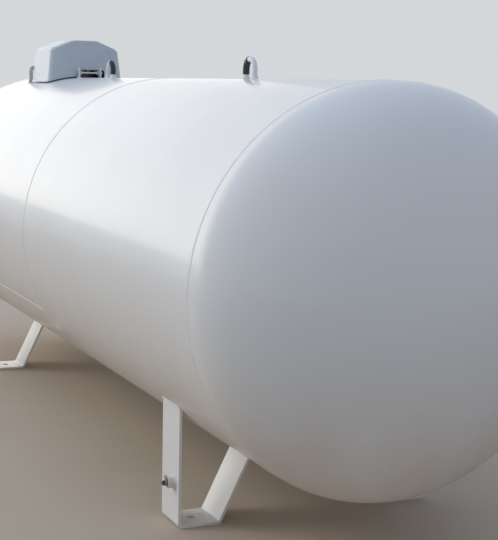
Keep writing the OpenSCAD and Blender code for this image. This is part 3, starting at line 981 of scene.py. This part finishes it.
def crest_weld(x, y, along, across, thick):
    """A bead of weld round a flat bar that stands upright on the shell at x and y."""
    lean = math.asin(y / shell_r)
    way = Vector((0, math.sin(lean), math.cos(lean)))
    foot_spot = Vector((x, 0, axis_z)) + way * shell_r
    return fillet_loop(foot_spot, way, along + crest_weld_wider, across + crest_weld_wider, thick)


for side in ("left", "right"):
    low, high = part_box(f"hinge_plate_{side}")
    crown_z = high.z - plate_half
    plate = block((low.x, low.y, low.z - 2 * MM), (high.x, high.y, crown_z))
    crown = turned([(0, plate_half), (plate_t, plate_half)], (hinge_x, low.y, crown_z), along_y, sides=64)
    cut(plate, crown, operation="UNION")
    cut(plate, rod_hole(rod_r), shell_cutter(-weld_in, hinge_x))
    round_edges(plate, 0.6 * MM, segments=2)
    weld = crest_weld(hinge_x, (low.y + high.y) / 2, 2 * plate_half, plate_t, plate_weld_r)
    finish_piece(plate, f"hinge_bar_{side}", "white_paint", f"hinge_plate_{side}")
    finish_piece(weld, f"hinge_bar_{side}_weld", "weld_paint", smooth=80)

# %% Hinge rod
rod_head_r = 7.5 * MM
head_out = rod_reach - 3 * MM
head_in = head_out - 5 * MM
half_rod = [(head_in, rod_r), (head_in, rod_head_r), (head_out - MM, rod_head_r), (head_out, rod_head_r - MM),
            (head_out, rod_r), (rod_reach - MM, rod_r), (rod_reach, rod_r - MM)]
other_half = [(-height, radius) for height, radius in reversed(half_rod)]
rod = turned(other_half + half_rod, hinge_spot, along_y)
finish_piece(rod, "hinge_rod_and_heads", "zinc_steel", "hinge_rod")

# %% Hinge arms
arms_low, arms_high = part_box("hood_hinge_arms")
arm_t = 6 * MM
arm_eye_r = 12 * MM
arm_top_z = notch_z - 8 * MM
pad_low_z = notch_z + 6 * MM
pad_t = 4 * MM
pad_x = arms_low.x + 10 * MM
rod_play = 0.05 * MM
lean_of_wall = hood_end_flare / (shoulder_z - hood_base_z)


def hinge_arm(inner_y):
    """An arm: an upright bar by the pad, and a bar that narrows to the eye round the rod."""
    upright = block((arms_low.x, inner_y, hinge_z), (pad_x, inner_y + arm_t, arms_high.z))
    reach = block((arms_low.x, inner_y, hinge_z), (hinge_x, inner_y + arm_t, arm_top_z))
    pick(reach, "VERT", lambda v: v.x > hinge_x - MM and v.z > hinge_z + MM)
    bpy.ops.transform.translate(value=(0, 0, hinge_z + arm_eye_r - arm_top_z))
    pick(reach, "VERT", lambda v: v.x > hinge_x - MM and v.z < hinge_z + MM)
    bpy.ops.transform.translate(value=(0, 0, -arm_eye_r))
    deselect_all()
    eye_disc = turned([(0, arm_eye_r), (arm_t, arm_eye_r)], (hinge_x, inner_y, hinge_z), along_y)
    cut(upright, reach, eye_disc, operation="UNION")
    return upright


pad = block((pad_x, arms_low.y, pad_low_z), (pad_x + pad_t, arms_high.y, arms_high.z))
pick(pad, "VERT", lambda v: v.x > pad_x + MM and v.z < pad_low_z + MM)
bpy.ops.transform.translate(value=((arms_high.z - pad_low_z) * lean_of_wall, 0, 0))
deselect_all()
arms = hinge_arm(arms_low.y)
cut(arms, hinge_arm(arms_high.y - arm_t), pad, operation="UNION")
cut(arms, rod_hole(rod_r + rod_play))
round_edges(arms, 0.6 * MM, segments=2)
finish_piece(arms, "hinge_arms_and_pad", "hood_paint", "hood_hinge_arms", body="hood")

# %% [markdown]
# ## Latch
# A flat arch stands across the crest behind the hood, and a bent hasp on the hood's back wall
# hangs its tongue in front of it, so one padlock goes through both. The arch is plate with its
# inside cut away, and each of its feet has its bead of weld. The hasp is a strip: one face drawn
# round its bends, then given thickness.

# %% Latch arch
hoop_low, hoop_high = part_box("latch_hoop")
hoop_x = middle_of("latch_hoop").x
hoop_t = hoop_high.x - hoop_low.x
hoop_w = 20 * MM
hoop_corner = 24 * MM
hoop_weld_r = 4 * MM
below_shell = 60 * MM
padlock_r = 5 * MM
padlock_reach = 60 * MM


def arch_block(inset):
    top_z = hoop_high.z - inset
    arch = block((hoop_low.x - inset, hoop_low.y + inset, hoop_low.z - below_shell - inset),
                 (hoop_high.x + inset, hoop_high.y - inset, top_z))
    pick(arch, "EDGE", lambda a, b: a.z > top_z - MM and b.z > top_z - MM and abs(a.y - b.y) < MM)
    bpy.ops.mesh.bevel(offset=hoop_corner - inset, segments=8, affect="EDGES")
    deselect_all()
    return arch


def padlock_hole():
    start = (hoop_x - padlock_reach, 0, hoop_high.z - hoop_w / 2)
    return turned([(0, padlock_r), (2 * padlock_reach, padlock_r)], start, (1, 0, 0), sides=32)


hoop = arch_block(0)
cut(hoop, arch_block(hoop_w), shell_cutter(-weld_in, hoop_low.x), padlock_hole())
round_edges(hoop, 0.8 * MM, segments=2)
finish_piece(hoop, "latch_arch", "zinc_steel", "latch_hoop")
leg_weld = crest_weld(hoop_x, hoop_high.y - hoop_w / 2, hoop_t, hoop_w, hoop_weld_r)
leg_welds = join(leg_weld, copy_piece(leg_weld, flip=(1, -1, 1)))
finish_piece(leg_welds, "latch_arch_welds", "weld_paint", smooth=80)

# %% Hasp
hasp_low, hasp_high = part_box("hood_hasp")
hasp_t = 4 * MM
flange_h = 30 * MM
flange_low = hasp_high.z - flange_h
flange_lean = flange_h * lean_of_wall
deselect_all()
bpy.ops.mesh.primitive_plane_add(
    size=1, rotation=along_x, location=(hasp_high.x, 0, hasp_high.z - flange_h / 2))
hasp = bpy.context.object
hasp.scale = (flange_h, hasp_high.y - hasp_low.y, 1)
place_in_mesh(hasp)
pick(hasp, "VERT", lambda v: v.z < flange_low + MM)
bpy.ops.transform.translate(value=(-flange_lean, 0, 0))
pick(hasp, "EDGE", lambda a, b: a.z < flange_low + MM and b.z < flange_low + MM)
extrude((hasp_low.x - hasp_high.x + hasp_t + flange_lean, 0, 0))
extrude((0, 0, hasp_low.z - flange_low))
deselect_all()
add_modifier(hasp, "SOLIDIFY", thickness=hasp_t, offset=-1)
apply_modifiers(hasp)
set_normals_out(hasp)
cut(hasp, padlock_hole())
round_edges(hasp, 0.6 * MM, segments=2)
finish_piece(hasp, "hasp_strip", "hood_paint", "hood_hasp", body="hood")

# %% [markdown]
# ## Neck and cover plate
# Under the hood a short wide neck is welded on the crest and closed by a bolted plate. Neck and plate are
# turned rings, in dark steel as painted shade for the shade under the hood. One bolt is made with its washer
# and copied round the plate.

# %% Neck and cover plate
neck_low, neck_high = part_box("valve_neck")
neck_r = (neck_high.x - neck_low.x) / 2
neck_wall = 8 * MM
bore_r = neck_r - neck_wall
cover_low, cover_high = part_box("valve_plate")
cover_x = middle_of("valve_plate").x
cover_r = (cover_high.x - cover_low.x) / 2
cover_z = cover_high.z

# Neck and cover take the dark steel as painted shade: under the hood they lie in shade.
neck = turned([(neck_low.z - 2 * MM, neck_r), (neck_high.z, neck_r)], (cover_x, 0, 0), sides=96)
bore_ends = [(neck_low.z - neck_wall, bore_r), (neck_high.z + neck_wall, bore_r)]
bore = turned(bore_ends, (cover_x, 0, 0), sides=96)
cut(neck, bore, shell_cutter(-weld_in, cover_x))
finish_piece(neck, "neck_ring", "dark_steel", "valve_neck")

cover = turned([(cover_low.z, cover_r), (cover_z, cover_r)], (cover_x, 0, 0), sides=96)
round_edges(cover, 1.5 * MM)
finish_piece(cover, "neck_cover", "dark_steel", "valve_plate")

# %% Cover bolts
bolt_count = 8
bolt_from_rim = 12 * MM
bolt_spot = (cover_x + cover_r - bolt_from_rim, 0, cover_z)
washer = round_edges(turned(in_mm((0, 10), (2, 10)), bolt_spot, sides=32), 0.4 * MM)
bolt_head = round_edges(turned(in_mm((2, 9), (8, 9)), bolt_spot, sides=6), 0.7 * MM)
bolts = ring_of(join(washer, bolt_head), bolt_count, Vector((cover_x, 0, cover_z)))
finish_piece(bolts, "cover_bolts", "zinc_steel")

# %% [markdown]
# ## Valves and gauge
# The four fittings are what the hood protects: a fill valve with a screw cap, a relief valve with
# a rain cap, a service valve with a side outlet and a handwheel, and a dial for the level. The
# valves are turned on a lathe from hexagon bar, so each is a stack of rings over a six-sided foot.
# An outline is a list of heights and radii in millimetres, as a turner reads it.

# %% Fill valve
hex_bevel = 1.2 * MM
coarse_pitch = 2 * MM
flute_count = 16


def on_cover(name):
    """The spot on the cover plate under the middle of a fitting."""
    middle = middle_of(name)
    return Vector((middle.x, middle.y, cover_z))


def hex_foot(radius, height, spot):
    return round_edges(turned([(0, radius), (height, radius)], spot, sides=6), hex_bevel)


def threads(low, high, radius, pitch):
    """Rings for a screwed length: the radius dips by half the pitch at every turn."""
    half_turns = 2 * round((high - low) / pitch)
    dip = pitch / 2
    return [(low + dip * index, radius - dip * (index % 2)) for index in range(half_turns + 1)]


fill_spot = on_cover("fill_valve")
fill_rings = in_mm((18, 22), (40, 22), (42, 24)) + threads(44 * MM, 52 * MM, 25 * MM, coarse_pitch)
fill_body = join(turned(fill_rings, fill_spot), hex_foot(28.5 * MM, 20 * MM, fill_spot))
finish_piece(fill_body, "fill_valve_body", "brass", "fill_valve")

cap_low, cap_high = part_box("fill_cap")
cap_r = (cap_high.x - cap_low.x) / 2
cap_spot = Vector((fill_spot.x, fill_spot.y, cap_low.z))
cap_rim = [(0, cap_r - MM), (MM, cap_r), (15 * MM, cap_r), (16 * MM, cap_r - MM)]
fill_cap = turned(cap_rim + in_mm((16, 25), (21, 24.5), (22, 23.5)), cap_spot, sides=96)
flute = turned(in_mm((-2, 3), (18, 3)), cap_spot + Vector((cap_r + MM, 0, 0)), sides=16)
cut(fill_cap, ring_of(flute, flute_count, cap_spot))
finish_piece(fill_cap, "fill_valve_cap", "black_plastic", "fill_cap")

# %% Relief valve
relief_spot = on_cover("relief_valve")
relief_rings = in_mm((20, 19), (26, 19), (28, 21), (60, 21), (64, 24), (73, 24), (74, 23))
relief_body = join(turned(relief_rings, relief_spot), hex_foot(26.5 * MM, 22 * MM, relief_spot))
finish_piece(relief_body, "relief_valve_body", "brass", "relief_valve")
rain_cap_rings = in_mm((74, 24), (75, 25), (81, 25), (82, 24.5), (87, 20.5), (88, 19))
rain_cap = turned(rain_cap_rings, relief_spot, sides=64)
finish_piece(rain_cap, "relief_valve_cap", "red_plastic", "relief_cap")

# %% Service valve
service_spot = on_cover("service_handwheel")
outlet_at = service_spot + Vector((0, 0, 32 * MM))
to_side = (0, -1, 0)
service_stem = turned(in_mm((16, 16), (40, 16), (46, 12), (46, 6), (62, 6)), service_spot)
outlet_rings = in_mm((0, 12), (24, 12), (26, 10)) + threads(26 * MM, 38 * MM, 11 * MM, coarse_pitch)
outlet = turned(outlet_rings, outlet_at, to_side)
outlet_nut = round_edges(turned(in_mm((28, 16), (40, 16)), outlet_at, to_side, sides=6), MM)
service_body = join(service_stem, outlet, outlet_nut, hex_foot(22.5 * MM, 18 * MM, service_spot))
finish_piece(service_body, "service_valve_body", "brass", "service_valve")

# %% Handwheel
wheel_low, wheel_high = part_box("service_handwheel")
wheel_centre = middle_of("service_handwheel")
wheel_r = 24 * MM
wheel_bar_r = 3.5 * MM
hub_r = 9 * MM
spoke_count = 4
deselect_all()
bpy.ops.mesh.primitive_torus_add(
    major_segments=72, minor_segments=16, major_radius=wheel_r, minor_radius=wheel_bar_r,
    location=wheel_centre)
wheel = bpy.context.object
hub = turned([(wheel_low.z, hub_r), (wheel_high.z, hub_r)], (wheel_centre.x, wheel_centre.y, 0))
round_edges(hub, MM)
spoke = turned([(0, 3.2 * MM), (wheel_r, 2.6 * MM)], wheel_centre, (1, 0, 0), sides=20)
wheel = join(wheel, hub, ring_of(spoke, spoke_count, wheel_centre))
finish_piece(wheel, "service_valve_wheel", "red_plastic", "service_handwheel")

# %% Level gauge
mark_count = 20
gauge_spot = on_cover("level_gauge")
case_rings = in_mm((0, 32), (9, 32), (10, 31), (10, 25), (15, 25), (15, 27), (21, 27), (22, 26), (22, 24),
                   (19.5, 23.5))
finish_piece(turned(case_rings, gauge_spot, sides=72), "gauge_case", "zinc_steel", "level_gauge")
dial = turned(in_mm((19, 23), (20, 23)), gauge_spot, sides=72)
finish_piece(dial, "gauge_dial", "white_paint", paint=paint_dial)


def on_dial(start_x, end_x, half_w, low, high):
    """A flat bar on the dial, along X, in millimetres from the gauge's middle and foot."""
    return block(gauge_spot + Vector((start_x, -half_w, low)) * MM,
                 gauge_spot + Vector((end_x, half_w, high)) * MM)


marks = ring_of(on_dial(17, 21.5, 0.5, 20, 20.3), mark_count, gauge_spot)
pointer = on_dial(-6, 18, 0.9, 20.8, 21.4)
pointer_boss = round_edges(turned(in_mm((20, 3.4), (21.8, 3.4)), gauge_spot, sides=24), 0.4 * MM)
finish_piece(join(marks, pointer, pointer_boss), "gauge_marks_and_pointer", "black_plastic")

# %% [markdown]
# ## Earthing point
# A round boss is welded on the outside of the near left foot. A stud comes out of it and carries
# a washer, the flattened eye of an earthing lug, and a nut. The boss widens to a cone of weld at its
# root, and the stud shows its thread past the nut.

# %% Earthing boss
boss_low, boss_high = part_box("earthing_boss")
clamp_low, clamp_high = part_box("earthing_clamp")
boss_r = (boss_high.x - boss_low.x) / 2
boss_len = boss_high.y - boss_low.y
boss_edge = 1.5 * MM
boss_spot = middle_of("earthing_boss")
boss_spot.y = boss_high.y
boss_root = [(0, boss_r + 8 * MM), (2 * MM, boss_r + 5.5 * MM), (5 * MM, boss_r + 1.5 * MM)]
boss_rings = boss_root + [(8 * MM, boss_r), (boss_len - boss_edge, boss_r), (boss_len, boss_r - boss_edge)]
boss = turned(boss_rings, boss_spot, to_side, sides=64)
finish_piece(boss, "earthing_boss_and_weld", "white_paint", "earthing_boss")

# %% Earthing stud, washer and nut
washer_r = 12 * MM
nut_r = 9 * MM
shank_r = 4.6 * MM
thread_r = 4.9 * MM
fine_pitch = 1.2 * MM
washer_end = boss_high.y - clamp_high.y
clamp_end = boss_high.y - clamp_low.y
stud_end = boss_high.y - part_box("earthing_bolt")[0].y
nut_end = stud_end - 3 * MM
washer = round_edges(turned([(boss_len, washer_r), (washer_end, washer_r)], boss_spot, to_side), 0.4 * MM)
nut = round_edges(turned([(clamp_end, nut_r), (nut_end, nut_r)], boss_spot, to_side, sides=6), 0.8 * MM)
shank = [(boss_len - MM, shank_r), (nut_end - MM, shank_r)]
stud = turned(shank + threads(nut_end - MM, stud_end, thread_r, fine_pitch), boss_spot, to_side, sides=32)
finish_piece(join(stud, washer, nut), "earthing_stud_and_nut", "dark_steel", "earthing_bolt")

# %% Earthing lug
eye_r = 9 * MM
clamp_y = middle_of("earthing_clamp").y
tail_half = 5 * MM
clamp = round_edges(turned([(washer_end, eye_r), (clamp_end, eye_r)], boss_spot, to_side), 0.5 * MM)
tail = block((boss_spot.x - tail_half, clamp_low.y + 0.5 * MM, boss_spot.z + 6 * MM),
             (boss_spot.x + tail_half, clamp_high.y - 0.5 * MM, boss_spot.z + 16 * MM))
barrel = turned(in_mm((14, 5), (25, 5), (26, 4)), (boss_spot.x, clamp_y, boss_spot.z), sides=24)
finish_piece(join(clamp, round_edges(tail, MM), barrel), "earthing_lug", "zinc_steel", "earthing_clamp")

# %% [markdown]
# ## Floor
# The floor is a wide pale disc that fades into the backdrop's tone far out, so no edge shows.
# Near the tank it is a dull warm surface that takes the tank's shadow.

# %% Floor
backdrop = (0.66, 0.68, 0.7, 1)
floor_light = (0.53, 0.44, 0.34, 1)
floor_pale = (0.56, 0.475, 0.375, 1)
floor_r = 60
fade_from, fade_to = 6.0, 16.0


def floor_finish():
    material, shader = start_finish("plain floor")
    patches = fade(material, noise(material, scale=0.8))
    link(material, tint(material, patches, floor_light, floor_pale), shader.inputs["Base Color"])
    shader.inputs["Roughness"].default_value = 0.8
    shader.inputs["Specular IOR Level"].default_value = 0.15
    distance = node(material, "ShaderNodeVectorMath", {"operation": "LENGTH"}, i0=place_of(material))
    far_out = fade(material, distance.outputs["Value"], fade_from, fade_to)
    glow = node(material, "ShaderNodeEmission", Color=backdrop, Strength=1.0).outputs[0]
    mixed = node(material, "ShaderNodeMixShader", i0=far_out, i1=shader.outputs[0], i2=glow)
    link(material, mixed.outputs[0], material.node_tree.nodes["Material Output"].inputs["Surface"])
    return material


deselect_all()
bpy.ops.mesh.primitive_circle_add(vertices=96, radius=floor_r, fill_type="NGON", location=(0, 0, 0))
floor = bpy.context.object
floor.name = "floor"
floor.data.materials.append(floor_finish())
print("floor to", floor_r, "m")

# %% [markdown]
# ## Sky and backdrop
# What the camera sees behind the tank is one plain tone, and so is what its paint mirrors. What
# lights it is a soft sky, dim low down and brighter and bluer overhead. Light Path tells the two
# apart, ray by ray. The tank is white, so the light stays low and its brightest flank keeps its tone.

# %% Sky and backdrop
sky_low = (0.245, 0.248, 0.28, 1)
sky_high = (0.5, 0.63, 0.86, 1)
sky_from, sky_to = 0.1, 1.0

world = bpy.data.worlds.new("studio")
bpy.context.scene.world = world
world.use_nodes = True
world.node_tree.nodes.clear()


def plain_light(colour):
    return node(world, "ShaderNodeBackground", Color=colour).outputs[0]


direction = node(world, "ShaderNodeTexCoord").outputs["Generated"]
upward = node(world, "ShaderNodeSeparateXYZ", Vector=direction).outputs["Z"]
lit_sky = node(world, "ShaderNodeMixShader", i0=fade(world, upward, sky_from, sky_to),
               i1=plain_light(sky_low), i2=plain_light(sky_high)).outputs[0]
rays = node(world, "ShaderNodeLightPath").outputs
seen = rays["Is Camera Ray"]
for ray in ("Is Glossy Ray", "Is Transmission Ray"):
    seen = reckon(world, "MAXIMUM", seen, rays[ray])
shown = node(world, "ShaderNodeMixShader", i0=seen, i1=lit_sky, i2=plain_light(backdrop)).outputs[0]
node(world, "ShaderNodeOutputWorld", Surface=shown)
print("sky from", sky_low[:3], "to", sky_high[:3])

# %% [markdown]
# ## Key light
# One wide soft lamp stands high on the left, so the flank is brighter than the end. It is kept
# out of the paint's mirror image, where a round spot would give the studio away.

# %% Key light
key_way = Vector((-0.3, -0.75, 0.58))
key = bpy.data.lights.new("key", "SUN")
key.energy = 0.7
key.angle = math.radians(25)
key.color = (1.0, 0.985, 0.955)
key_lamp = bpy.data.objects.new("key", key)
bpy.context.scene.collection.objects.link(key_lamp)
key_lamp.visible_glossy = False
key_lamp.rotation_euler = key_way.to_track_quat("Z", "Y").to_euler()
print("key light from", [round(v, 2) for v in key_way])

# %% [markdown]
# ## Side panel
# A bright sky over a dark ground gives a glossy tank a bright upper flank that ends in a soft
# line. A tall glowing panel far off, whose lower edge is a metre or so over the floor, gives the
# same line. It is strongest at that edge, and dimmer above it and on one side, so that the crest
# does not burn out.

# %% Side panel
panel_faces = Vector((0.98, 0.2, 0))
panel_x, panel_y = -13.978, -4.16
panel_low = 1.138
panel_tall = 11.2
panel_wide = 24.0
panel_white = (1.0, 0.975, 0.935, 1)
strength_low, strength_top = 2.03, 0.9
dim_from, dim_to, dimmed = 3.28, 11.28, 0.7

deselect_all()
bpy.ops.mesh.primitive_plane_add(size=1, location=(0, 0, 0))
panel = bpy.context.object
panel.name = "side_panel"
panel.scale = (panel_wide, panel_tall, 1)
place_in_mesh(panel)
panel.rotation_euler = panel_faces.to_track_quat("Z", "Y").to_euler()
panel.location = (panel_x, panel_y, panel_low + panel_tall / 2)


def panel_glow():
    material = bpy.data.materials.new("side panel glow")
    material.use_nodes = True
    material.node_tree.nodes.clear()
    place = parts_of_place(material)
    climbing = fade(material, place["Y"], -panel_tall / 2, panel_tall / 2, strength_low, strength_top)
    sideward = fade(material, place["X"], dim_from, dim_to, 1.0, dimmed)
    strength = reckon(material, "MULTIPLY", climbing, sideward)
    glow = node(material, "ShaderNodeEmission", Color=panel_white, Strength=strength).outputs[0]
    node(material, "ShaderNodeOutputMaterial", Surface=glow)
    return material


panel.data.materials.append(panel_glow())
panel.visible_camera = False
print("panel at", [round(v, 1) for v in panel.location])
